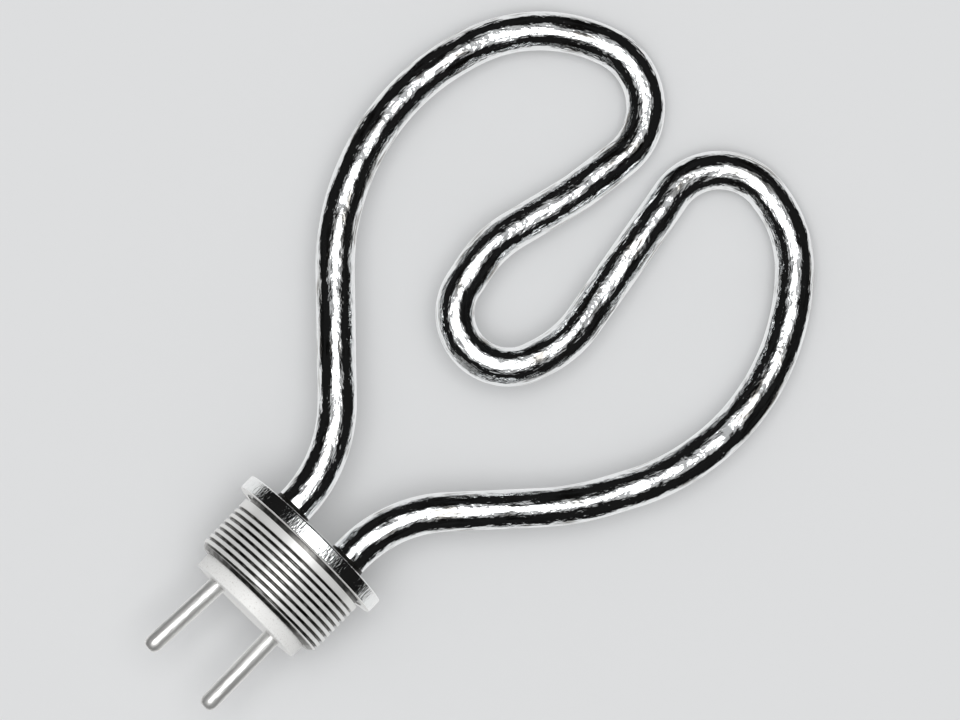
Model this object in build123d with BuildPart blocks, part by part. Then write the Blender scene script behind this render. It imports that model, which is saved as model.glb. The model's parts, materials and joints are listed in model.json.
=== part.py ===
from build123d import *
from math import acos, atan2, degrees, hypot, tan
import os

# Screw-in tubular heating element: a metal-sheathed element bent into a flat two-lobed loop, its two ends
# brazed into a threaded plug, with a pair of round contact pins on the plug's outer end.
#
# Millimetres, +Z up. The part is modelled as it lies on a flat surface, on the rim of the plug's flange and
# on the far ends of the loop's two lobes. The origin is on the plug's axis, in the plane of the flange's
# sealing face. "Along" is a distance on the plug's axis from there, positive towards the loop and negative
# towards the pins. "Across" is the distance from that axis in the plane of the loop.

# ---- Driving dimensions ------------------------------------------------------------------------------

# Sheath tube and what is packed in it
tube_od = 8.5
tube_wall = 0.7
coil_wire = 0.5
terminal_rod_diameter = 2.5
coil_grip = 3.0  # length of each rod's inner end that the coil is wound on
bush_length = 4.0
seal_length = 1.5

# Loop: each bend of the centre line, as (across, along, radius). The first two numbers are the corner
# where the straight runs before and after the bend would meet.
leg_bend_along = 18.5
left_leg_bend_radius = 32.0
right_leg_bend_radius = 30.0
left_lobe_bends = [
    (-59.5, 69.5, 54.0),  # side
    (-46.0, 117.5, 33.0),  # shoulder
    (-7.0, 132.0, 14.5),  # far end
    (-12.0, 96.0, 40.0),  # return
]
notch_bends = [
    (-17.5, 75.0, 25.0),  # entry
    (-7.5, 24.0, 11.5),  # U-bend
    (9.5, 71.0, 25.0),  # exit
]
right_lobe_bends = [
    (0.0, 128.0, 13.0),  # far end
    (28.0, 123.5, 25.0),  # shoulder
    (57.5, 89.5, 50.0),  # side
    (35.0, 47.5, 60.0),  # return
]

# Screw plug
flange_diameter = 38.0
flange_thickness = 3.5
flange_edge_radius = 0.4
undercut_depth = 0.9  # below the thread's major diameter
undercut_width = 1.0
undercut_face_depth = 0.3  # the undercut also runs this far into the flange's face
thread_diameter = 33.0
thread_end_along = -14.7
thread_end_chamfer = 1.2
recess_diameter = 26.0
recess_depth = 5.0
tube_projection = 1.0  # how far the tube's ends stand out of the recess floor

# Brazed joints of the tube in the flange
braze_leg = 1.7

# Terminal insulator and the cement that holds it
insulator_diameter = 28.0
insulator_thickness = 3.4
insulator_edge_radius = 0.3
cement_thickness = 1.5

# Contact pins
pin_spacing = 16.0
pin_diameter = 4.0
pin_shank_diameter = 3.4  # the part of each pin that passes through the insulator
left_pin_length = 20.0  # from the insulator's face to the tip
right_pin_length = 20.5
left_pin_lean = 3.0  # degrees outward, knocked out of true
right_pin_lean = 0.5
pin_nose_length = 2.2
pin_nose_diameter = 1.6
pin_collar_diameter = 6.0
pin_collar_thickness = 1.5
pin_socket_depth = 4.0  # how deep each rod goes into its pin
pin_shank_overlap = 0.5  # how far each shank runs into its leaning pin

# Clearances: the first is a length in the legs, the rest are on the radius
rod_to_bend_clearance = 0.65  # from the rods' inner ends to where the nearer leg starts to bend
washer_clearance = 0.3  # from the thread to the inner edge of the flange's sealing face
braze_clearance = 0.05
rod_clearance = 0.05
spigot_clearance = 0.05
pin_clearance = 0.1

# ---- Worked out from them ----------------------------------------------------------------------------


def leg_bend_start(leg_bend, next_bend):
    """How far along a leg's straight run ends and its bend starts."""
    across, along, radius = leg_bend
    next_across, next_along, next_radius = next_bend
    turn = atan2(abs(next_across - across), next_along - along)
    return along - radius * tan(turn / 2)


tube_radius = tube_od / 2
bore_radius = tube_radius - tube_wall
rod_radius = terminal_rod_diameter / 2
coil_outer_radius = rod_radius + coil_wire
flange_radius = flange_diameter / 2
thread_radius = thread_diameter / 2
undercut_radius = thread_radius - undercut_depth
sealing_face_radius = thread_radius + washer_clearance
rim_radius = min(flange_edge_radius, (flange_radius - sealing_face_radius) / 2)
recess_radius = recess_diameter / 2
pin_radius = pin_diameter / 2
pin_across = pin_spacing / 2

recess_floor = thread_end_along + recess_depth
tube_end = recess_floor - tube_projection
bush_inner_end = tube_end + bush_length
seal_inner_end = bush_inner_end + seal_length

left_leg_bend = (-pin_across, leg_bend_along, left_leg_bend_radius)
right_leg_bend = (pin_across, leg_bend_along, right_leg_bend_radius)
legs_straight_to = min(
    leg_bend_start(left_leg_bend, left_lobe_bends[0]),
    leg_bend_start(right_leg_bend, right_lobe_bends[-1]),
)
rod_inner_end = legs_straight_to - rod_to_bend_clearance
coil_end = rod_inner_end - coil_grip
spigot_end = recess_floor - cement_thickness
insulator_face = thread_end_along - insulator_thickness
shank_start = insulator_face - pin_shank_overlap
collar_end = spigot_end - pin_collar_thickness
rod_end = spigot_end - pin_socket_depth

bends = [left_leg_bend, *left_lobe_bends, *notch_bends, *right_lobe_bends, right_leg_bend]
bend_corners = [(across, along) for across, along, radius in bends]
bend_radii = [radius for across, along, radius in bends]


def loop_points(leg_end):
    """Corners of the loop's centre line, with both legs ending the same distance along."""
    return [(-pin_across, leg_end), *bend_corners, (pin_across, leg_end)]


with BuildLine() as flat_centre_line:
    FilletPolyline(*loop_points(tube_end), radius=bend_radii)
centre_line = flat_centre_line.wire()
lobe_reach = centre_line.bounding_box().max.Y

# The part lies tilted, because the flange is larger than the tube. The rounded loop-side edge of the
# flange and the far ends of the lobes touch the surface together.
edge_centre_across = flange_radius - rim_radius
edge_centre_to_reach = lobe_reach - (flange_thickness - rim_radius)
rim_to_tube_drop = tube_radius - rim_radius
tilt = degrees(
    acos(rim_to_tube_drop / hypot(edge_centre_across, edge_centre_to_reach))
    - atan2(edge_centre_to_reach, edge_centre_across)
)

# The loop's plane: X across, Y along the plug's axis towards the loop
loop_plane = Plane.XY.rotated((-tilt, 0, 0))
plug_axis = Axis((0, 0, 0), loop_plane.y_dir)


def section_plane(across, along):
    """Plane square to the plug's axis, facing the loop."""
    origin = loop_plane.from_local_coords((across, along, 0))
    return Plane(origin=origin, x_dir=loop_plane.x_dir, z_dir=loop_plane.y_dir)


def finish(piece, label):
    piece.part.label = label
    export_step(piece.part, f"parts/{label}.step")


def rod(label, radius, across, near, far, bore=0.0):
    """A round piece parallel to the plug's axis, from near to far along it."""
    with BuildPart() as piece:
        with BuildSketch(section_plane(across, near)):
            Circle(radius)
            if bore > 0:
                Circle(bore, mode=Mode.SUBTRACT)
        extrude(amount=far - near)
    finish(piece, label)
    return piece


os.makedirs("parts", exist_ok=True)
sides = {"left": -1, "right": 1}

# ---- Screw plug: one turned piece --------------------------------------------------------------------
# The thread is a plain cylinder at its major diameter.

plug_profile = [
    (0, flange_thickness),
    (flange_radius, flange_thickness),
    (flange_radius, 0),
    (sealing_face_radius, 0),
    (sealing_face_radius, undercut_face_depth),
    (undercut_radius, undercut_face_depth),
    (undercut_radius, -undercut_width),
    (thread_radius, -undercut_width),
    (thread_radius, thread_end_along + thread_end_chamfer),
    (thread_radius - thread_end_chamfer, thread_end_along),
    (recess_radius, thread_end_along),
    (recess_radius, recess_floor),
    (0, recess_floor),
]

with BuildPart() as screw_plug:
    with BuildSketch(loop_plane):
        with BuildLine():
            Polyline(*plug_profile, close=True)
        make_face()
    revolve(axis=plug_axis)
    rim = screw_plug.edges().filter_by(GeomType.CIRCLE).group_by(SortBy.RADIUS)[-1]
    fillet(rim, rim_radius)
    for side in sides.values():
        with BuildSketch(section_plane(side * pin_across, recess_floor)):
            Circle(tube_radius + braze_clearance)
        extrude(amount=flange_thickness - recess_floor, mode=Mode.SUBTRACT)
finish(screw_plug, "screw_plug")

# ---- Sheathed element --------------------------------------------------------------------------------

with BuildPart() as sheath_tube:
    with BuildLine(loop_plane):
        FilletPolyline(*loop_points(tube_end), radius=bend_radii)
    with BuildSketch(section_plane(-pin_across, tube_end)):
        Circle(tube_radius)
        Circle(bore_radius, mode=Mode.SUBTRACT)
    sweep()
finish(sheath_tube, "sheath_tube")

# The helix of fine wire, as the hollow round solid that its turns fill
with BuildPart() as resistance_coil:
    with BuildLine(loop_plane):
        FilletPolyline(*loop_points(coil_end), radius=bend_radii)
    with BuildSketch(section_plane(-pin_across, coil_end)):
        Circle(coil_outer_radius)
        Circle(rod_radius, mode=Mode.SUBTRACT)
    sweep()
finish(resistance_coil, "resistance_coil")

# Magnesia powder, rolled hard: it fills the tube outside the coil, the space inside the coil between the
# ends of the rods, and the legs down to the seals.
with BuildPart() as magnesia_fill:
    with BuildLine(loop_plane):
        FilletPolyline(*loop_points(coil_end), radius=bend_radii)
    with BuildSketch(section_plane(-pin_across, coil_end)):
        Circle(bore_radius)
        Circle(coil_outer_radius, mode=Mode.SUBTRACT)
    sweep()
    for side in sides.values():
        with BuildSketch(section_plane(side * pin_across, seal_inner_end)):
            Circle(bore_radius)
            Circle(rod_radius, mode=Mode.SUBTRACT)
        extrude(amount=coil_end - seal_inner_end)
    with BuildLine(loop_plane):
        FilletPolyline(*loop_points(rod_inner_end), radius=bend_radii)
    with BuildSketch(section_plane(-pin_across, rod_inner_end)):
        Circle(rod_radius)
    sweep()
finish(magnesia_fill, "magnesia_fill")

for name, side in sides.items():
    across = side * pin_across
    rod(f"terminal_rod_{name}", rod_radius, across, rod_end, rod_inner_end)
    rod(f"end_seal_{name}", bore_radius, across, bush_inner_end, seal_inner_end, bore=rod_radius)
    rod(f"end_bush_{name}", bore_radius, across, tube_end, bush_inner_end, bore=rod_radius + rod_clearance)

# ---- Braze fillets round the tube on the flange ------------------------------------------------------

for name, side in sides.items():
    across = side * pin_across
    foot = (across + tube_radius + braze_leg, flange_thickness)
    corner = (across + tube_radius, flange_thickness)
    top = (across + tube_radius, flange_thickness + braze_leg)
    leg_axis = Axis(loop_plane.from_local_coords((across, 0, 0)), loop_plane.y_dir)
    with BuildPart() as braze_ring:
        with BuildSketch(loop_plane):
            with BuildLine():
                Line(top, corner)
                Line(corner, foot)
                RadiusArc(foot, top, braze_leg)
            make_face()
        revolve(axis=leg_axis)
        add(sheath_tube.part, mode=Mode.SUBTRACT)
    finish(braze_ring, f"braze_ring_{name}")

# ---- Terminal end ------------------------------------------------------------------------------------

with BuildPart() as sealing_cement:
    with BuildSketch(section_plane(0, spigot_end)):
        Circle(recess_radius)
        for side in sides.values():
            with Locations((side * pin_across, 0)):
                Circle(rod_radius, mode=Mode.SUBTRACT)
    extrude(amount=cement_thickness)
    for side in sides.values():
        with BuildSketch(section_plane(side * pin_across, tube_end)):
            Circle(tube_radius)
        extrude(amount=tube_projection, mode=Mode.SUBTRACT)
finish(sealing_cement, "sealing_cement")

with BuildPart() as terminal_insulator:
    with BuildSketch(section_plane(0, insulator_face)):
        Circle(insulator_diameter / 2)
    extrude(amount=insulator_thickness)
    outer_edge = terminal_insulator.edges().filter_by(GeomType.CIRCLE).sort_by(plug_axis)[0]
    fillet(outer_edge, insulator_edge_radius)
    with BuildSketch(section_plane(0, thread_end_along)):
        Circle(recess_radius - spigot_clearance)
    extrude(amount=spigot_end - thread_end_along)
    for side in sides.values():
        with BuildSketch(section_plane(side * pin_across, insulator_face)):
            Circle(pin_radius + pin_clearance)
        extrude(amount=spigot_end - insulator_face, mode=Mode.SUBTRACT)
        with BuildSketch(section_plane(side * pin_across, collar_end)):
            Circle(pin_collar_diameter / 2 + pin_clearance)
        extrude(amount=pin_collar_thickness, mode=Mode.SUBTRACT)
finish(terminal_insulator, "terminal_insulator")


def contact_pin(name, length, lean):
    """A round pin with a rounded nose, on a collared shank with a socket for its rod."""
    across = sides[name] * pin_across
    root = Plane(
        origin=loop_plane.from_local_coords((across, insulator_face, 0)),
        x_dir=loop_plane.x_dir,
        z_dir=loop_plane.z_dir,
    ).rotated((0, 0, sides[name] * lean))
    with BuildPart() as piece:
        with BuildSketch(root):
            with BuildLine():
                nose_start = (pin_radius, pin_nose_length - length)
                nose_end = (pin_nose_diameter / 2, -length)
                Polyline((0, -length), (0, 0), (pin_radius, 0), nose_start)
                TangentArc(nose_start, nose_end, tangent=(0, -1))
                Line(nose_end, (0, -length))
            make_face()
        revolve(axis=Axis(root.origin, root.y_dir))
        with BuildSketch(section_plane(across, shank_start)):
            Circle(pin_shank_diameter / 2)
        extrude(amount=spigot_end - shank_start)
        with BuildSketch(section_plane(across, collar_end)):
            Circle(pin_collar_diameter / 2)
        extrude(amount=pin_collar_thickness)
        with BuildSketch(section_plane(across, rod_end)):
            Circle(rod_radius + rod_clearance)
        extrude(amount=pin_socket_depth, mode=Mode.SUBTRACT)
    finish(piece, f"contact_pin_{name}")


contact_pin("left", left_pin_length, left_pin_lean)
contact_pin("right", right_pin_length, right_pin_lean)

# ---- Figures for a check by eye ----------------------------------------------------------------------

section_area = sheath_tube.part.faces().sort_by(plug_axis)[0].area
print(f"tilt {tilt:.3f} degrees, lobes reach {lobe_reach:.2f}")
print(f"centre line {centre_line.length:.2f}")
print(f"tube volume {sheath_tube.part.volume:.1f}")
print(f"section x length {section_area * centre_line.length:.1f}")
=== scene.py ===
"""Looks of a screw-in tubular heating element.

The plated loop, the turned and threaded plug, the brazed joints, the insulator and the contact pins are
modelled as meshes round the part's own frame, in metres. The pieces inside them keep their solids and get
materials of their own.
"""

import json
from math import atan2, ceil, cos, hypot, pi, radians, sin, tan

import bmesh
import bpy
from bpy.props import FloatProperty, FloatVectorProperty, IntProperty, PointerProperty, StringProperty
from mathutils import Matrix, Vector, noise


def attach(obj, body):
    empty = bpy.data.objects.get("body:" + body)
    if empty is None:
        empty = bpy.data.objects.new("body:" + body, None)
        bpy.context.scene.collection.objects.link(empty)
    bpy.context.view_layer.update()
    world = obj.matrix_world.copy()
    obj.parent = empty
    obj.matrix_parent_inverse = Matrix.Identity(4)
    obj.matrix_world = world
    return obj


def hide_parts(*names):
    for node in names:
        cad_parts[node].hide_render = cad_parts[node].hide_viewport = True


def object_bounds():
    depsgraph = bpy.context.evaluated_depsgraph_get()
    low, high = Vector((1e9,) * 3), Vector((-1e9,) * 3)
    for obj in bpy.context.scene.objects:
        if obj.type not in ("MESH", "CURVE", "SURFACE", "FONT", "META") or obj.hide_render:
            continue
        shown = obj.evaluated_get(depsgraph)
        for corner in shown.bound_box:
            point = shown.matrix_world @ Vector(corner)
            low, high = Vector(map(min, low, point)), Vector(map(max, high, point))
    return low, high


bl_info = {
    "name": "Tubular heating element",
    "version": (1, 0, 0),
    "blender": (4, 5, 0),
    "location": "View3D > Sidebar > Heating element",
    "description": "Models the surfaces of a screw-in tubular heating element",
    "category": "Object",
}

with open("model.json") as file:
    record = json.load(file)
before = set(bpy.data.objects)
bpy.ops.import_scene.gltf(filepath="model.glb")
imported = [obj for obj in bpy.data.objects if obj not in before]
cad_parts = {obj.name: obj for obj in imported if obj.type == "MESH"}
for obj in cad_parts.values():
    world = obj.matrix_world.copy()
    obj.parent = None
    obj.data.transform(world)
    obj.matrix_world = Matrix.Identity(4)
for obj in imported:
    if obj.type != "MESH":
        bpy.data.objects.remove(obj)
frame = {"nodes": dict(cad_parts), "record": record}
cad_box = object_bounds()

MM = 0.001

# ---- Places and sizes read from the frame ------------------------------------------------------------

mounts = {mount["name"]: mount for mount in frame["record"]["mounts"]}


def mount_radius(name):
    """Radius of a mount that is a pin, in metres."""
    return mounts[name]["dims"]["r_mm"] * MM


# The plug's axis dips towards the loop by this angle
outward = Vector(mounts["sealing_face"]["axis"])
tilt = atan2(outward.z, -outward.y)

# Turns (across, along, up) of the loop's plane into the part's frame
to_part = Matrix.Rotation(-tilt, 4, "X")
from_part = to_part.inverted()


def node_reach(node):
    """Lowest and highest (across, along, up) of a CAD node's points in the loop's plane."""
    points = [from_part @ vertex.co for vertex in frame["nodes"][node].data.vertices]
    low = Vector([min(point[i] for point in points) for i in range(3)])
    high = Vector([max(point[i] for point in points) for i in range(3)])
    return low, high


plug_low, plug_high = node_reach("screw_plug")
tube_low, tube_high = node_reach("sheath_tube")
braze_high = node_reach("braze_ring_left")[1]
insulator_low, insulator_high = node_reach("terminal_insulator")
flange_radius = plug_high.x
flange_thickness = plug_high.y
plug_end = plug_low.y
thread_radius = mount_radius("thread")
tube_end = tube_low.y
tube_radius = tube_high.z
braze_leg = braze_high.y - flange_thickness
insulator_radius = insulator_high.x
insulator_face = insulator_low.y
spigot_end = insulator_high.y

# Clearances, as the solids have them
washer_clearance = 0.3 * MM  # from the thread to the inner edge of the flange's sealing face
braze_clearance = 0.05 * MM
spigot_clearance = 0.05 * MM
pin_clearance = 0.1 * MM


# ---- Settings ----------------------------------------------------------------------------------------


def length(name, description, default):
    """A length in metres that can be set in the panel."""
    return FloatProperty(name=name, description=description, default=default, unit="LENGTH", precision=5)


def finish_colour(name, description, default):
    """An sRGB hex colour that can be set in the panel."""
    return StringProperty(name=name, description=description, default=default)


class LoopSettings(bpy.types.PropertyGroup):
    """Sizes and finish of the sheath tube."""

    wall: length("Wall", "Thickness of the tube's wall", 0.7 * MM)
    ring_step: length("Ring step", "Distance between the mesh's rings along the tube", 1.0 * MM)
    around: IntProperty(name="Points around", description="Points in each ring", default=64)
    wave: length("Wave", "Depth of the slow waves left by bending and polishing", 0.1 * MM)
    wrinkle: length("Wrinkle", "Depth of the wrinkles inside the tight bends", 0.06 * MM)
    lump: length("Lumps", "Height of the lumps under the plating", 0.3 * MM)
    dimple: length("Dimples", "Height of the short dimples that break up reflections", 0.11 * MM)
    streak: length("Streaks", "Height of the long drawn streaks", 0.045 * MM)
    tarnish_colour: finish_colour("Tarnish", "Colour of the streaks where the plating has dulled", "#77746F")
    colour: finish_colour("Plating", "Colour of the plating", "#DEE0E1")


class PlugSettings(bpy.types.PropertyGroup):
    """Sizes and finish of the screw plug."""

    pitch: length("Pitch", "Pitch of the thread", 1.5 * MM)
    thread_depth: length("Thread depth", "Depth of the thread", 0.62 * MM)
    crest: length("Crest", "Width of the thread's flat crest", 0.72 * MM)
    root: length("Root", "Width of the thread's root", 0.14 * MM)
    plain_band: length("Plain band", "Unthreaded length next to the undercut", 0.9 * MM)
    rim_radius: length("Rim radius", "Rounding of the flange's rim", 0.4 * MM)
    edge_radius: length("Edge radius", "Rounding of the other turned edges", 0.15 * MM)
    recess_radius: length("Recess radius", "Radius of the recess that holds the insulator", 13.0 * MM)
    recess_depth: length("Recess depth", "Depth of that recess", 5.0 * MM)
    undercut_depth: length("Undercut depth", "Depth of the undercut below the thread", 0.9 * MM)
    undercut_width: length("Undercut width", "Width of the undercut", 1.0 * MM)
    undercut_face_depth: length("Face undercut", "How far the undercut runs into the flange", 0.3 * MM)
    chamfer: length("End chamfer", "Chamfer at the thread's outer end", 1.2 * MM)
    around: IntProperty(name="Points around", description="Points in each ring", default=192)
    colour: finish_colour("Plating", "Colour of the plating on the thread", "#F0F0EE")
    # Painted shade, with some grime: this colour darkens the thread's grooves, the undercut and the joint
    # with the insulator, where shade falls
    groove_shade_and_dirt_colour: finish_colour("Grooves", "Colour of the dirty metal in the grooves", "#636260")
    buffed_colour: finish_colour("Buffed plating", "Colour of the plating on the flange", "#DEE0E0")


class TerminalSettings(bpy.types.PropertyGroup):
    """Sizes and finish of the insulator, the pins and the braze."""

    insulator_edge: length("Insulator edge", "Rounding of the insulator's outer edge", 0.35 * MM)
    pin_nose: length("Pin nose", "Length of each pin's rounded nose", 2.19 * MM)
    pin_tip_radius: length("Pin tip", "Radius of the flat at each pin's tip", 0.8 * MM)
    braze_lump: length("Braze lumps", "Unevenness of the braze fillets", 0.25 * MM)
    # Near black in part as painted shade, the contact shade where each tube meets the flange, and in part as
    # burnt flux
    braze_flux_and_shade_colour: finish_colour("Braze", "Colour of the burnt flux on the braze", "#1B1A18")
    insulator_colour: finish_colour("Insulator", "Colour of the insulator", "#F8F8F6")
    pin_colour: finish_colour("Pin plating", "Colour of the pins' plating", "#E9E9E7")


class StageSettings(bpy.types.PropertyGroup):
    """Camera, light and floor."""

    camera_place: FloatVectorProperty(
        name="Camera place",
        description="Where the camera stands, looking straight down",
        default=(-1.592 * MM, 55.087 * MM, 947.0 * MM),
        subtype="TRANSLATION",
    )
    camera_turn: FloatProperty(
        name="Camera turn",
        description="Turn of the camera about the vertical",
        default=radians(44.43),
        subtype="ANGLE",
    )
    lens: FloatProperty(name="Lens", description="Focal length", default=166.8, unit="CAMERA")
    lamp_height: length("Lamp height", "Height of the overhead soft light", 1.6)
    lamp_radius: length("Lamp radius", "Radius of the overhead soft light", 0.56)
    lamp_brightness: FloatProperty(
        name="Lamp brightness", description="Radiance of the soft light", default=3.6
    )
    fill: FloatProperty(name="Fill", description="Radiance of the even light from all round", default=0.36)
    floor_colour: finish_colour("Floor", "Colour of the floor", "#E4E5E6")
    backdrop_colour: finish_colour("Backdrop", "Colour behind the floor", "#EDEDEC")


# ---- Mesh helpers ------------------------------------------------------------------------------------

# Faces that meet at more than this angle have a sharp edge between them
sharp_angle = radians(35)


def mesh_piece(name, points, faces):
    """A smooth-shaded mesh object with sharp edges where its faces meet at an angle."""
    mesh = bpy.data.meshes.new(name)
    mesh.from_pydata([tuple(point) for point in points], [], faces)
    shaped = bmesh.new()
    shaped.from_mesh(mesh)
    bmesh.ops.recalc_face_normals(shaped, faces=shaped.faces)
    shaped.to_mesh(mesh)
    shaped.free()
    mesh.shade_smooth()
    mesh.set_sharp_from_angle(angle=sharp_angle)
    piece = bpy.data.objects.new(name, mesh)
    bpy.context.scene.collection.objects.link(piece)
    return piece


def dress(piece, material, slot, *nodes):
    """Gives a new piece its material and its place in the frame."""
    piece.data.materials.clear()
    piece.data.materials.append(material)
    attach(piece, "root")
    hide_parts(*nodes)


def bridge(ring_a, ring_b):
    """Quads between two closed rings of as many points, or triangles to a ring of one point."""
    if len(ring_a) == 1:
        ring_a, ring_b = ring_b, ring_a
    faces = []
    for i in range(len(ring_a)):
        after = (i + 1) % len(ring_a)
        if len(ring_b) == 1:
            faces.append((ring_a[i], ring_a[after], ring_b[0]))
        else:
            faces.append((ring_a[i], ring_a[after], ring_b[after], ring_b[i]))
    return faces


def turned(name, profile, around, place=to_part, radius_at=None, closed=False):
    """A mesh turned about the along direction from (radius, along) points; radius 0 is a pole."""
    points = []
    rings = []
    for radius, along in profile:
        count = 1 if radius < 1e-9 else around
        rings.append(range(len(points), len(points) + count))
        for i in range(count):
            angle = 2 * pi * i / count
            reach = radius_at(radius, along, angle) if radius_at else radius
            points.append(place @ Vector((reach * sin(angle), along, reach * cos(angle))))
    faces = []
    for ring_a, ring_b in zip(rings, rings[1:] + (rings[:1] if closed else [])):
        faces += bridge(ring_a, ring_b)
    return mesh_piece(name, points, faces)


def rounded(corners, arc_points=6):
    """A profile of (radius, along, edge radius) corners, with its edges rounded by arcs.

    A point on each straight just past an arc keeps the flat face's shading flat.
    """
    profile = []
    for i, (x, y, edge_radius) in enumerate(corners):
        here = Vector((x, y))
        if edge_radius == 0:
            profile.append((x, y))
            continue
        before = (Vector(corners[i - 1][:2]) - here).normalized()
        after = (Vector(corners[i + 1][:2]) - here).normalized()
        half_corner = before.angle(after) / 2
        reach = edge_radius / tan(half_corner)
        centre = here + (before + after).normalized() * edge_radius / sin(half_corner)
        start = here + before * reach
        end = here + after * reach
        support = 0.25 * edge_radius
        profile.append(tuple(start + before * support))
        for step in range(arc_points + 1):
            share = step / arc_points
            spoke = (start - centre).slerp(end - centre, share)
            profile.append(tuple(centre + spoke.normalized() * edge_radius))
        profile.append(tuple(end + after * support))
    return profile


def hole_cutter(name, radius, start, end, around, place):
    """A cylinder that cuts a hole from start to end along the place's axis, and a little past both."""
    spare = 1.0 * MM
    profile = [(0, start - spare), (radius, start - spare), (radius, end + spare), (0, end + spare)]
    return turned(name, profile, around, place)


def cut_holes(piece, cutters):
    """Cuts each cutter out of the piece's mesh, and removes the cutter."""
    for cutter in cutters:
        modifier = piece.modifiers.new(cutter.name, "BOOLEAN")
        modifier.operation = "DIFFERENCE"
        modifier.solver = "EXACT"
        modifier.object = cutter
    depsgraph = bpy.context.evaluated_depsgraph_get()
    cut_mesh = bpy.data.meshes.new_from_object(piece.evaluated_get(depsgraph))
    if len(cut_mesh.polygons) == 0:
        raise RuntimeError(f"cutting the holes left nothing of {piece.name}")
    piece.modifiers.clear()
    piece.data = cut_mesh
    cut_mesh.set_sharp_from_angle(angle=sharp_angle)
    for cutter in cutters:
        bpy.data.objects.remove(cutter)


def smooth_step(value, start, end):
    """Rises smoothly from 0 at start to 1 at end."""
    share = min(max((value - start) / (end - start), 0.0), 1.0)
    return share * share * (3 - 2 * share)


# ---- The loop's centre line --------------------------------------------------------------------------

# In millimetres: each leg's distance from the plug's axis, and how far along its first bend's corner is
leg_across = 8.0
leg_bend_along = 18.5
sides = {"left": -1, "right": 1}

# Each bend as (across, along, radius) in millimetres, where the runs before and after it would meet
bends = [
    (-leg_across, leg_bend_along, 32.0),
    (-59.5, 69.5, 54.0),
    (-46.0, 117.5, 33.0),
    (-7.0, 132.0, 14.5),
    (-12.0, 96.0, 40.0),
    (-17.5, 75.0, 25.0),
    (-7.5, 24.0, 11.5),
    (9.5, 71.0, 25.0),
    (0.0, 128.0, 13.0),
    (28.0, 123.5, 25.0),
    (57.5, 89.5, 50.0),
    (35.0, 47.5, 60.0),
    (leg_across, leg_bend_along, 30.0),
]


def leg_place(side, along=0.0):
    """The place on a leg's axis, left (-1) or right (1), at a distance along it."""
    return to_part @ Matrix.Translation((side * leg_across * MM, along, 0))


def centre_line(step):
    """Points of the centre line, each (place, direction, bend), all in the loop's plane.

    bend is the vector to the bend's centre divided by its radius squared, and zero on the straights.
    """
    leg_end = tube_end / MM
    corners = [Vector(bend[:2]) for bend in bends]
    corners = [Vector((-leg_across, leg_end)), *corners, Vector((leg_across, leg_end))]
    line = []
    here = corners[0]
    for i, (*_, radius) in enumerate(bends, start=1):
        before = (corners[i] - corners[i - 1]).normalized()
        after = (corners[i + 1] - corners[i]).normalized()
        turn = before.angle_signed(after)
        reach = radius * tan(abs(turn) / 2)
        start = corners[i] - before * reach
        line += straight_points(here, start, step)
        side = -1 if turn > 0 else 1
        centre = start + Vector((-before.y, before.x)) * side * radius
        count = ceil(radius * abs(turn) * MM / step)
        for k in range(count):
            angle = side * abs(turn) * k / count
            spoke = rotate(start - centre, angle)
            line.append((centre + spoke, rotate(before, angle), -spoke / radius**2))
        here = corners[i] + after * reach
    line += straight_points(here, corners[-1], step)
    line.append((corners[-1], (corners[-1] - corners[-2]).normalized(), Vector((0, 0))))
    return line


def rotate(vector, angle):
    """The vector turned anticlockwise in the loop's plane."""
    across = vector.x * cos(angle) - vector.y * sin(angle)
    along = vector.x * sin(angle) + vector.y * cos(angle)
    return Vector((across, along))


def straight_points(start, end, step):
    """Points of the centre line from start up to, and not including, end."""
    run = end - start
    count = ceil(run.length * MM / step)
    return [(start + run * k / count, run.normalized(), Vector((0, 0))) for k in range(count)]


# ---- Materials ---------------------------------------------------------------------------------------


def linear(hex_colour):
    """An sRGB hex colour as linear values with full alpha."""
    shares = [int(hex_colour[i : i + 2], 16) / 255 for i in (1, 3, 5)]
    return (*(s / 12.92 if s <= 0.04045 else ((s + 0.055) / 1.055) ** 2.4 for s in shares), 1.0)


def add_node(tree, kind, settings, inputs):
    """Adds a node. inputs maps a socket's name or number to its value, or to the socket that feeds it."""
    node = tree.nodes.new(kind)
    for name, value in settings.items():
        setattr(node, name, value)
    for socket, value in inputs.items():
        if isinstance(value, bpy.types.NodeSocket):
            tree.links.new(value, node.inputs[socket])
        else:
            node.inputs[socket].default_value = value
    return node


def new_material(name):
    """An empty node material with its output node."""
    material = bpy.data.materials.new(name)
    material.use_nodes = True
    tree = material.node_tree
    tree.nodes.clear()
    return material, tree, tree.nodes.new("ShaderNodeOutputMaterial")


def stretched_pattern(tree, place, size):
    """Noise with marks of the given size along each of the place's axes."""
    stretched = add_node(
        tree, "ShaderNodeMapping", {}, {"Vector": place, "Scale": tuple(1 / side for side in size)}
    )
    marks = add_node(
        tree,
        "ShaderNodeTexNoise",
        {},
        {"Vector": stretched.outputs["Vector"], "Scale": 1.0, "Detail": 2.0, "Roughness": 0.5},
    )
    return marks.outputs["Fac"]


def tube_place(tree):
    """The place on the straight tube before it was bent, in millimetres: its length is the third axis."""
    return add_node(tree, "ShaderNodeAttribute", {"attribute_name": "straightened"}, {}).outputs["Vector"]


def plug_place(tree):
    """The place in the plug's own frame, in millimetres: its axis is the second one."""
    source = add_node(tree, "ShaderNodeTexCoord", {}, {})
    level = add_node(
        tree, "ShaderNodeMapping", {}, {"Vector": source.outputs["Object"], "Rotation": (tilt, 0, 0)}
    )
    scaled = add_node(
        tree, "ShaderNodeVectorMath", {"operation": "SCALE"}, {0: level.outputs["Vector"], "Scale": 1 / MM}
    )
    return scaled.outputs["Vector"]


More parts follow.
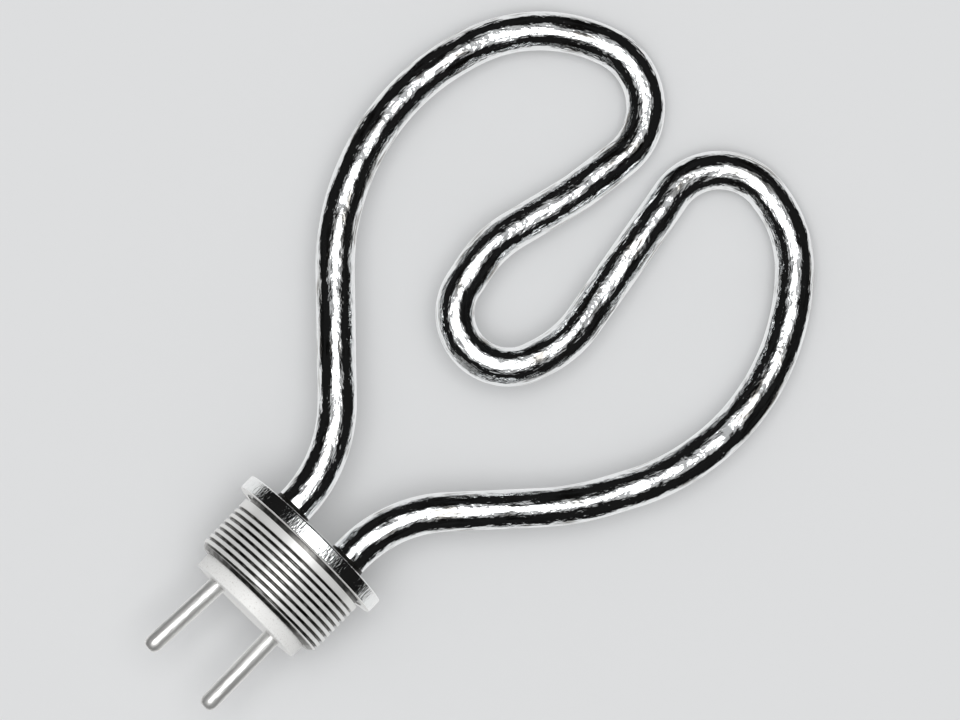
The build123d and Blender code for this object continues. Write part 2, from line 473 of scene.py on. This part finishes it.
def plated_metal(name, colour, place_on, marks, roughness, metallic=1.0, tarnish=None, grooves=None):
    """Bright plating over a worked surface.

    place_on is tube_place or plug_place. marks lists the layers of marks, broadest first, each as its size
    in millimetres along that place's axes and its height in metres. roughness is that of the brightest and
    of the dullest patches. tarnish is the colour of dulled streaks, which come in patches. grooves is the
    colour of painted shade, with some grime in it, laid on where the points' attribute for it is 1.
    """
    material, tree, output = new_material(name)
    place = place_on(tree)
    normal = None
    for size, height in marks:
        inputs = {"Height": stretched_pattern(tree, place, size), "Distance": height}
        if normal:
            inputs["Normal"] = normal
        normal = add_node(tree, "ShaderNodeBump", {}, inputs).outputs["Normal"]
    # The plating is duller in patches about 9 mm across
    patches = stretched_pattern(tree, place, (9.0, 9.0, 9.0))
    brightest, dullest = roughness
    dullness = add_node(
        tree,
        "ShaderNodeMapRange",
        {},
        {"Value": patches, "From Min": 0.35, "From Max": 0.7, "To Min": brightest, "To Max": dullest},
    )
    inputs = {
        "Base Color": linear(colour),
        "Metallic": metallic,
        "Roughness": dullness.outputs["Result"],
        "Normal": normal,
    }
    if tarnish:
        # Streaks 0.8 mm wide and 7 mm long
        streaks = stretched_pattern(tree, place, (0.8, 0.8, 7.0))
        patchy = add_node(
            tree, "ShaderNodeMapRange", {}, {"Value": patches, "From Min": 0.48, "From Max": 0.62}
        )
        streaky = add_node(
            tree,
            "ShaderNodeMapRange",
            {},
            {"Value": streaks, "From Min": 0.45, "From Max": 0.6, "To Max": 0.9},
        )
        share = add_node(
            tree,
            "ShaderNodeMath",
            {"operation": "MULTIPLY"},
            {0: patchy.outputs["Result"], 1: streaky.outputs["Result"]},
        )
        inputs["Base Color"] = add_node(
            tree,
            "ShaderNodeMix",
            {"data_type": "RGBA"},
            {"Factor": share.outputs["Value"], "A": linear(colour), "B": linear(tarnish)},
        ).outputs["Result"]
    # Painted shade, with some grime: darkens the metal and makes it fully metallic where the points'
    # attribute says
    if grooves:
        depth = add_node(tree, "ShaderNodeAttribute", {"attribute_name": "groove_shade_and_dirt"}, {}).outputs["Fac"]
        inputs["Base Color"] = add_node(
            tree,
            "ShaderNodeMix",
            {"data_type": "RGBA"},
            {"Factor": depth, "A": linear(colour), "B": linear(grooves)},
        ).outputs["Result"]
        inputs["Metallic"] = add_node(
            tree, "ShaderNodeMapRange", {}, {"Value": depth, "To Min": metallic, "To Max": 1.0}
        ).outputs["Result"]
    shader = add_node(tree, "ShaderNodeBsdfPrincipled", {}, inputs)
    tree.links.new(shader.outputs["BSDF"], output.inputs["Surface"])
    return material


def grainy_solid(name, base_colour, fleck_colour, fleck_size, grain_height, roughness, metallic=0.0):
    """A grainy or flecked solid: fired ceramic, cement, powder, rubber, raw wire or braze.

    fleck_size, the distance from fleck to fleck, and grain_height are in millimetres.
    """
    material, tree, output = new_material(name)
    source = add_node(tree, "ShaderNodeTexCoord", {}, {})
    flecks = add_node(
        tree,
        "ShaderNodeTexNoise",
        {},
        {
            "Vector": source.outputs["Object"],
            "Scale": 1 / (fleck_size * MM),
            "Detail": 3.0,
            "Roughness": 0.65,
        },
    )
    share = add_node(
        tree, "ShaderNodeMapRange", {}, {"Value": flecks.outputs["Fac"], "From Min": 0.56, "From Max": 0.72}
    )
    colour = add_node(
        tree,
        "ShaderNodeMix",
        {"data_type": "RGBA"},
        {"Factor": share.outputs["Result"], "A": linear(base_colour), "B": linear(fleck_colour)},
    )
    grain = add_node(
        tree, "ShaderNodeBump", {}, {"Height": flecks.outputs["Fac"], "Distance": grain_height * MM}
    )
    shader = add_node(
        tree,
        "ShaderNodeBsdfPrincipled",
        {},
        {
            "Base Color": colour.outputs["Result"],
            "Metallic": metallic,
            "Roughness": roughness,
            "Normal": grain.outputs["Normal"],
        },
    )
    tree.links.new(shader.outputs["BSDF"], output.inputs["Surface"])
    return material


# ---- Pieces ------------------------------------------------------------------------------------------

# The waves and wrinkles of the tube's wall, in millimetres round it and along it
wave_width = 5.0
wave_length = 11.0
wrinkle_pitch = 1.9
# One over the radius of the bends in which wrinkles start, 23 mm, and are at their deepest, 13 mm
wrinkles_start = 0.04375
wrinkles_full = 0.075


class HEATER_OT_loop(bpy.types.Operator):
    """Bends the sheath tube along the loop, with its waves and wrinkles"""

    bl_idname = "heater.loop"
    bl_label = "Sheath tube"

    def execute(self, context):
        settings = context.scene.heater_loop
        line = centre_line(settings.ring_step)
        points = []
        straightened = []
        rings = []
        travelled = 0.0
        previous = line[0][0]
        for place, direction, bend in line:
            travelled += (place - previous).length
            previous = place
            sideways = Vector((direction.y, -direction.x))
            ring = []
            for i in range(settings.around):
                angle = 2 * pi * i / settings.around
                flat_place = Vector((cos(angle), sin(angle))) * tube_radius / MM
                rolled_out = Vector((flat_place.x, flat_place.y, travelled))
                inwards = cos(angle) * sideways.dot(bend.normalized())
                depth = self.wall_depth(settings, rolled_out, max(0.0, inwards), bend.length)
                reach = (tube_radius - depth) / MM
                across, along = place + sideways * reach * cos(angle)
                ring.append(len(points))
                points.append(to_part @ Vector((across, along, reach * sin(angle))) * MM)
                straightened.append(rolled_out)
            rings.append(ring)
        inner_rings = []
        bore_share = (tube_radius - settings.wall) / tube_radius
        for ring, (place, *_) in zip(rings, line):
            middle = to_part @ Vector((place.x, place.y, 0)) * MM
            inner_rings.append(range(len(points), len(points) + len(ring)))
            for index in ring:
                points.append(middle + (points[index] - middle) * bore_share)
                straightened.append(straightened[index])
        closed_rings = rings + inner_rings[::-1]
        faces = []
        for ring_a, ring_b in zip(closed_rings, closed_rings[1:] + closed_rings[:1]):
            faces += bridge(list(ring_a), list(ring_b))
        piece = mesh_piece("loop_tube", points, faces)
        attribute = piece.data.attributes.new("straightened", "FLOAT_VECTOR", "POINT")
        attribute.data.foreach_set("vector", [value for point in straightened for value in point])
        # Nickel-plated steel tube, drawn, rolled and polished lengthwise: mirror bright, with lumps, dimples
        # and long streaks that tear the edges of what it reflects, and dulled streaks in patches. The 0.5 mm
        # streaks stand for finer draw marks, and are as coarse as they need to be to show.
        material = plated_metal(
            "nickel plated drawn tube",
            settings.colour,
            tube_place,
            marks=[
                ((7.0, 7.0, 16.0), 3 * settings.lump),
                ((3.2, 3.2, 5.0), settings.lump),
                ((0.5, 0.5, 9.0), settings.streak),
                ((0.8, 0.8, 1.6), settings.dimple),
            ],
            roughness=(0.04, 0.12),
            tarnish=settings.tarnish_colour,
        )
        dress(piece, material, "plated_sheath", "sheath_tube")
        return {"FINISHED"}

    def wall_depth(self, settings, rolled_out, inwards, curvature):
        """How far the tube's surface lies below its full radius.

        rolled_out is the point's place on the straight tube, and inwards is 1 on the inside of a bend.
        """
        x, y, travelled = rolled_out
        wave = 0.5 + 0.5 * noise.noise(Vector((x / wave_width, y / wave_width, travelled / wave_length)))
        ripple = 0.5 + 0.5 * sin(2 * pi * travelled / wrinkle_pitch + 3 * noise.noise(rolled_out / 4))
        wrinkled = inwards**2 * smooth_step(curvature, wrinkles_start, wrinkles_full)
        return settings.wave * wave + settings.wrinkle * wrinkled * ripple


class HEATER_OT_plug(bpy.types.Operator):
    """Turns the screw plug, cuts its thread and bores it for the tube"""

    bl_idname = "heater.plug"
    bl_label = "Screw plug"

    def execute(self, context):
        settings = context.scene.heater_plug
        undercut_radius = thread_radius - settings.undercut_depth
        face_radius = thread_radius + washer_clearance
        edge = settings.edge_radius
        recess_floor = plug_end + settings.recess_depth
        thread_start = -settings.undercut_width
        outside = [
            (0, flange_thickness, 0),
            (flange_radius, flange_thickness, settings.rim_radius),
            (flange_radius, 0, settings.rim_radius),
            (face_radius, 0, 0),
            (face_radius, settings.undercut_face_depth, 0),
            (undercut_radius, settings.undercut_face_depth, 0.5 * edge),
            (undercut_radius, thread_start, 0),
        ]
        rows_to_a_pitch = 24
        rows = ceil((thread_start - plug_end) / settings.pitch * rows_to_a_pitch)
        threaded = []
        for row in range(rows + 1):
            threaded.append((thread_radius, thread_start + (plug_end - thread_start) * row / rows))
        inside = [
            (settings.recess_radius, plug_end, 0),
            (settings.recess_radius, recess_floor, 0),
            (0, recess_floor, 0),
        ]
        profile = rounded(outside) + threaded + rounded(inside)
        run_in_start = settings.undercut_width + settings.plain_band

        def radius_at(radius, along, angle):
            """Radius with the thread and the end chamfer cut."""
            if radius != thread_radius:
                return radius
            turns = along / settings.pitch - angle / (2 * pi)
            from_crest = abs(turns % 1 - 0.5) * settings.pitch
            crest_edge = settings.crest / 2
            root_edge = (settings.pitch - settings.root) / 2
            cut = min(max((from_crest - crest_edge) / (root_edge - crest_edge), 0), 1)
            run_in = smooth_step(-along, run_in_start, run_in_start + settings.pitch)
            chamfered = thread_radius - max(0.0, plug_end + settings.chamfer - along)
            return min(radius - settings.thread_depth * cut * run_in, chamfered)

        piece = turned("threaded_plug", profile, settings.around, radius_at=radius_at)
        bores = []
        bore_radius = tube_radius + braze_clearance
        for name, side in sides.items():
            place = leg_place(side)
            bores.append(hole_cutter(f"bore_{name}", bore_radius, recess_floor, flange_thickness, 96, place))
        cut_holes(piece, bores)
        # Nickel-plated brass, turned and left as cut on the thread: satin and pale, with fine rings of
        # tool marks, 0.22 mm apart, that the plating follows, and painted shade, with some grime, in the
        # grooves, the undercut and the joint with the insulator
        material = plated_metal(
            "nickel plated turned brass",
            settings.colour,
            plug_place,
            marks=[((5.0, 0.22, 5.0), 0.012 * MM), ((0.4, 0.4, 0.4), 0.012 * MM)],
            metallic=0.25,
            roughness=(0.28, 0.4),
            grooves=settings.groove_shade_and_dirt_colour,
        )
        # Nickel-plated brass, buffed across the flange's rim: mirror bright, with short marks along the
        # axis. The 0.4 mm marks stand for finer ones, and are as coarse as they need to be to show.
        buffed = plated_metal(
            "nickel plated buffed brass",
            settings.buffed_colour,
            plug_place,
            marks=[((2.5, 6.0, 2.5), 0.12 * MM), ((0.4, 1.2, 0.4), 0.1 * MM)],
            roughness=(0.05, 0.12),
        )
        dress(piece, material, "plated_brass", "screw_plug")
        self.paint_groove_shade_and_dirt(settings, piece)
        piece.data.materials.append(buffed)
        for polygon in piece.data.polygons:
            centre = from_part @ polygon.center
            if centre.y > 0.5 * settings.rim_radius and hypot(centre.x, centre.z) > face_radius:
                polygon.material_index = 1
        return {"FINISHED"}

    def paint_groove_shade_and_dirt(self, settings, piece):
        """Paints shade, with some grime: deep in the thread, in the undercut and round the insulator."""
        grooves = piece.data.attributes.new("groove_shade_and_dirt", "FLOAT", "POINT")
        unevenness_size = 1.2 * MM
        for vertex in piece.data.vertices:
            across, along, up = from_part @ vertex.co
            if along < settings.undercut_face_depth:
                # How strong the painted shade is, uneven over about a millimetre
                shade_and_dirt_unevenness = 0.95 + 0.35 * noise.noise(Vector((across, along, up)) / unevenness_size)
                chamfer_depth = max(0.0, plug_end + settings.chamfer - along)
                depth = thread_radius - chamfer_depth - hypot(across, up)
                # Painted shade deep in the thread and the undercut, and painted shadow at the joint with the
                # insulator
                in_thread = smooth_step(depth, 0, 0.5 * settings.thread_depth)
                at_joint = smooth_step(chamfer_depth, 0.2 * settings.chamfer, 0.5 * settings.chamfer)
                grooves.data[vertex.index].value = min(1.0, max(in_thread, at_joint) * shade_and_dirt_unevenness)


class HEATER_OT_braze(bpy.types.Operator):
    """Runs a braze fillet round each leg of the tube on the flange"""

    bl_idname = "heater.braze"
    bl_label = "Braze fillets"

    def execute(self, context):
        settings = context.scene.heater_terminal
        # Silver braze, run in molten and left under its burnt flux: nearly black and dull, with grey metal
        # showing through in specks. The near black is in part painted shade: the contact shade where each
        # tube meets the flange.
        material = grainy_solid(
            "flux and shade darkened silver braze",
            settings.braze_flux_and_shade_colour,
            "#55524D",
            fleck_size=0.5,
            grain_height=0.03,
            roughness=0.5,
            metallic=0.6,
        )
        profile = [(tube_radius, flange_thickness)]
        arc_steps = 10
        for k in range(arc_steps + 1):
            turn = radians(90) * k / arc_steps
            radius = tube_radius + braze_leg * (1 - sin(turn))
            profile.append((radius, flange_thickness + braze_leg * (1 - cos(turn))))
        for name, side in sides.items():

            def radius_at(radius, along, angle):
                """Radius with the fillet's lumps, which fade out towards the tube."""
                lump = noise.noise(Vector((cos(angle) * 2.5, sin(angle) * 2.5, along / MM + 9 * side)))
                share = (radius - tube_radius) / braze_leg
                return radius - settings.braze_lump * (0.5 + 0.5 * lump) * share

            piece = turned(f"braze_{name}", profile, 128, leg_place(side), radius_at, closed=True)
            dress(piece, material, "braze", f"braze_ring_{name}")
        return {"FINISHED"}


class HEATER_OT_insulator(bpy.types.Operator):
    """Presses the terminal insulator and pierces it for the pins"""

    bl_idname = "heater.insulator"
    bl_label = "Terminal insulator"

    def execute(self, context):
        settings = context.scene.heater_terminal
        spigot_radius = context.scene.heater_plug.recess_radius - spigot_clearance
        inner_edge = 0.1 * MM
        corners = [
            (0, insulator_face, 0),
            (insulator_radius, insulator_face, settings.insulator_edge),
            (insulator_radius, plug_end, inner_edge),
            (spigot_radius, plug_end, 0),
            (spigot_radius, spigot_end, 0),
            (0, spigot_end, 0),
        ]
        piece = turned("pressed_insulator", rounded(corners), 160)
        holes = []
        for name, side in sides.items():
            place = leg_place(side)
            radius = mount_radius(f"contact_pin_{name}") + pin_clearance
            holes.append(hole_cutter(f"hole_{name}", radius, insulator_face, spigot_end, 64, place))
        cut_holes(piece, holes)
        # Steatite, pressed and fired without a glaze: an off-white, faintly grey-flecked, matt surface
        material = grainy_solid(
            "fired steatite",
            settings.insulator_colour,
            "#DAD8D4",
            fleck_size=0.4,
            grain_height=0.05,
            roughness=0.4,
        )
        dress(piece, material, "steatite", "terminal_insulator")
        return {"FINISHED"}


class HEATER_OT_pins(bpy.types.Operator):
    """Turns the two contact pins and sets them at their lean"""

    bl_idname = "heater.pins"
    bl_label = "Contact pins"

    def execute(self, context):
        settings = context.scene.heater_terminal
        # Nickel-plated brass rod, tumbled and handled: satin, white where it faces the light, with rubbed
        # marks along its length, drawn coarser than real ones so that they show
        material = plated_metal(
            "nickel plated pin brass",
            settings.pin_colour,
            plug_place,
            marks=[((0.4, 5.0, 0.4), 0.05 * MM), ((0.6, 1.6, 0.6), 0.06 * MM)],
            metallic=0.7,
            roughness=(0.34, 0.44),
        )
        nose_steps = 14
        barrel_rows = 12
        shank_end = 0.4 * MM
        shoulder = 0.1 * MM
        for name, side in sides.items():
            node = f"contact_pin_{name}"
            axis = from_part @ Vector(mounts[node]["axis"])
            lean = atan2(axis.x, -axis.y)
            radius = mount_radius(node)
            barrel = mounts[node]["dims"]["length_mm"] * MM
            shank_radius = 0.85 * radius
            profile = [
                (0, spigot_end - insulator_face),
                (shank_radius, spigot_end - insulator_face),
                (shank_radius, shank_end),
                (radius, shank_end - shoulder),
            ]
            for k in range(barrel_rows):
                profile.append((radius, -barrel * k / barrel_rows))
            flat = settings.pin_tip_radius
            for k in range(nose_steps + 1):
                angle = radians(90) * k / nose_steps
                reach = flat + (radius - flat) * cos(angle)
                profile.append((reach, -barrel - settings.pin_nose * sin(angle)))
            profile.append((0, -barrel - settings.pin_nose))
            place = leg_place(side, insulator_face) @ Matrix.Rotation(lean, 4, "Z")
            piece = turned(f"pin_{name}", profile, 64, place)
            dress(piece, material, "plated_pin", node)
        return {"FINISHED"}


class HEATER_OT_inner_pieces(bpy.types.Operator):
    """Gives the pieces inside the sheath and the plug their materials"""

    bl_idname = "heater.inner_pieces"
    bl_label = "Inner pieces"

    def execute(self, context):
        finishes = {
            # Nickel-chromium wire, drawn and oxidised by heat: dull dark grey
            "resistance_coil": grainy_solid(
                "oxidised nickel chromium wire",
                "#5B5650",
                "#3A3632",
                fleck_size=0.4,
                grain_height=0.01,
                roughness=0.5,
                metallic=1.0,
            ),
            # Magnesia powder, rolled hard inside the tube: white and chalky
            "magnesia_fill": grainy_solid(
                "compacted magnesia",
                "#EFEDE6",
                "#D5D2C8",
                fleck_size=0.5,
                grain_height=0.05,
                roughness=0.9,
            ),
            # Mild steel rod, drawn: grey with a soft sheen
            "terminal_rod": grainy_solid(
                "drawn mild steel",
                "#8D8E8F",
                "#6C6D6E",
                fleck_size=0.5,
                grain_height=0.01,
                roughness=0.35,
                metallic=1.0,
            ),
            # Silicone, moulded: dark red-brown and soft-looking
            "end_seal": grainy_solid(
                "moulded silicone",
                "#7A3B30",
                "#6A3028",
                fleck_size=0.8,
                grain_height=0.02,
                roughness=0.55,
            ),
            # Steatite, pressed and fired: off-white and matt
            "end_bush": grainy_solid(
                "fired steatite bush",
                "#E9E6DE",
                "#C9C6BE",
                fleck_size=0.45,
                grain_height=0.03,
                roughness=0.45,
            ),
            # Ceramic cement, poured and set: grey-white and rough
            "sealing_cement": grainy_solid(
                "set ceramic cement",
                "#D8D4C9",
                "#B5B0A4",
                fleck_size=0.6,
                grain_height=0.08,
                roughness=0.85,
            ),
        }
        for node, solid in frame["nodes"].items():
            for start, material in finishes.items():
                if node.startswith(start):
                    solid.data.materials.clear()
                    solid.data.materials.append(material)
        return {"FINISHED"}


class HEATER_OT_stage(bpy.types.Operator):
    """Lays the floor and sets the camera, the lamp and the surroundings"""

    bl_idname = "heater.stage"
    bl_label = "Stage"

    def execute(self, context):
        settings = context.scene.heater_stage
        self.lay_floor(settings)
        self.set_camera(context, settings)
        self.hang_lamp(context, settings)
        self.set_surroundings(context, settings)
        context.scene.view_settings.view_transform = "Standard"
        return {"FINISHED"}

    def lay_floor(self, settings):
        half = 6.0  # metres
        level = cad_box[0].z
        corners = [(-half, -half, level), (half, -half, level), (half, half, level), (-half, half, level)]
        floor = mesh_piece("floor", corners, [(0, 1, 2, 3)])
        material, tree, output = new_material("matt pale floor")
        pale = add_node(tree, "ShaderNodeBsdfDiffuse", {}, {"Color": linear(settings.floor_colour)})
        # Bright metal reflects the floor as white below itself. Nearer the horizon than about 20 degrees it
        # reflects a dark room, as if the floor ended there.
        slant = add_node(tree, "ShaderNodeLayerWeight", {}, {"Blend": 0.5})
        near = add_node(
            tree,
            "ShaderNodeMapRange",
            {},
            {
                "Value": slant.outputs["Facing"],
                "From Min": 0.56,
                "From Max": 0.72,
                "To Min": 1.0,
                "To Max": 0.01,
            },
        )
        mirrored = add_node(tree, "ShaderNodeEmission", {}, {"Strength": near.outputs["Result"]})
        path = add_node(tree, "ShaderNodeLightPath", {}, {})
        mixed = add_node(
            tree,
            "ShaderNodeMixShader",
            {},
            {0: path.outputs["Is Glossy Ray"], 1: pale.outputs["BSDF"], 2: mirrored.outputs["Emission"]},
        )
        tree.links.new(mixed.outputs["Shader"], output.inputs["Surface"])
        floor.data.materials.append(material)

    def set_camera(self, context, settings):
        camera = bpy.data.objects.new("camera", bpy.data.cameras.new("camera"))
        camera.location = settings.camera_place
        camera.rotation_euler = (0, 0, settings.camera_turn)
        camera.data.lens = settings.lens
        camera.data.sensor_width = 36.0
        camera.data.clip_end = 50.0
        context.scene.collection.objects.link(camera)
        context.scene.camera = camera

    def hang_lamp(self, context, settings):
        light = bpy.data.lights.new("overhead_soft_light", "AREA")
        lamp = bpy.data.objects.new("overhead_soft_light", light)
        lamp.data.shape = "DISK"
        lamp.data.size = 2 * settings.lamp_radius
        # The power of a disc is its radiance times pi times its area
        lamp.data.energy = settings.lamp_brightness * pi * pi * settings.lamp_radius**2
        loop_middle = 60.0 * MM
        lamp.location = (0, loop_middle, settings.lamp_height)
        context.scene.collection.objects.link(lamp)

    def set_surroundings(self, context, settings):
        world = bpy.data.worlds.new("studio")
        context.scene.world = world
        world.use_nodes = True
        tree = world.node_tree
        tree.nodes.clear()
        output = tree.nodes.new("ShaderNodeOutputWorld")
        place = add_node(tree, "ShaderNodeTexCoord", {}, {})
        height = add_node(tree, "ShaderNodeSeparateXYZ", {}, {"Vector": place.outputs["Generated"]})
        # Round the lamp the ceiling glows softly. An even fill lights what faces sideways, and bright metal
        # reflects a dark room there
        glow = add_node(
            tree,
            "ShaderNodeMapRange",
            {},
            {"Value": height.outputs["Z"], "From Min": 0.79, "From Max": 0.86, "To Max": 0.6},
        )
        path = add_node(tree, "ShaderNodeLightPath", {}, {})
        fill = add_node(
            tree,
            "ShaderNodeMapRange",
            {},
            {"Value": path.outputs["Is Glossy Ray"], "To Min": settings.fill, "To Max": 0.012},
        )
        light = add_node(
            tree,
            "ShaderNodeMath",
            {"operation": "ADD"},
            {0: glow.outputs["Result"], 1: fill.outputs["Result"]},
        )
        room = add_node(
            tree, "ShaderNodeBackground", {}, {"Color": (1, 1, 1, 1), "Strength": light.outputs["Value"]}
        )
        backdrop = add_node(
            tree, "ShaderNodeBackground", {}, {"Color": linear(settings.backdrop_colour), "Strength": 1.0}
        )
        shown = add_node(
            tree,
            "ShaderNodeMixShader",
            {},
            {
                0: path.outputs["Is Camera Ray"],
                1: room.outputs["Background"],
                2: backdrop.outputs["Background"],
            },
        )
        tree.links.new(shown.outputs["Shader"], output.inputs["Surface"])


class HEATER_PT_panel(bpy.types.Panel):
    """Lists the element's pieces and their settings"""

    bl_idname = "HEATER_PT_panel"
    bl_label = "Heating element"
    bl_space_type = "VIEW_3D"
    bl_region_type = "UI"
    bl_category = "Heating element"

    def draw(self, context):
        for settings_name, operators in panel_rows.items():
            box = self.layout.box()
            settings = getattr(context.scene, settings_name)
            for name in settings.__annotations__:
                box.prop(settings, name)
            for operator in operators:
                box.operator(operator.bl_idname)


panel_rows = {
    "heater_loop": [HEATER_OT_loop],
    "heater_plug": [HEATER_OT_plug],
    "heater_terminal": [HEATER_OT_braze, HEATER_OT_insulator, HEATER_OT_pins, HEATER_OT_inner_pieces],
    "heater_stage": [HEATER_OT_stage],
}
settings_groups = {
    "heater_loop": LoopSettings,
    "heater_plug": PlugSettings,
    "heater_terminal": TerminalSettings,
    "heater_stage": StageSettings,
}
operators = [operator for row in panel_rows.values() for operator in row]
classes = [*settings_groups.values(), *operators, HEATER_PT_panel]


def register():
    for item in classes:
        bpy.utils.register_class(item)
    for name, group in settings_groups.items():
        setattr(bpy.types.Scene, name, PointerProperty(type=group))


def unregister():
    for name in settings_groups:
        delattr(bpy.types.Scene, name)
    for item in reversed(classes):
        bpy.utils.unregister_class(item)


def main():
    register()
    bpy.ops.heater.stage()
    bpy.ops.heater.loop()
    bpy.ops.heater.plug()
    bpy.ops.heater.braze()
    bpy.ops.heater.insulator()
    bpy.ops.heater.pins()
    bpy.ops.heater.inner_pieces()


if __name__ == "__main__":
    main()
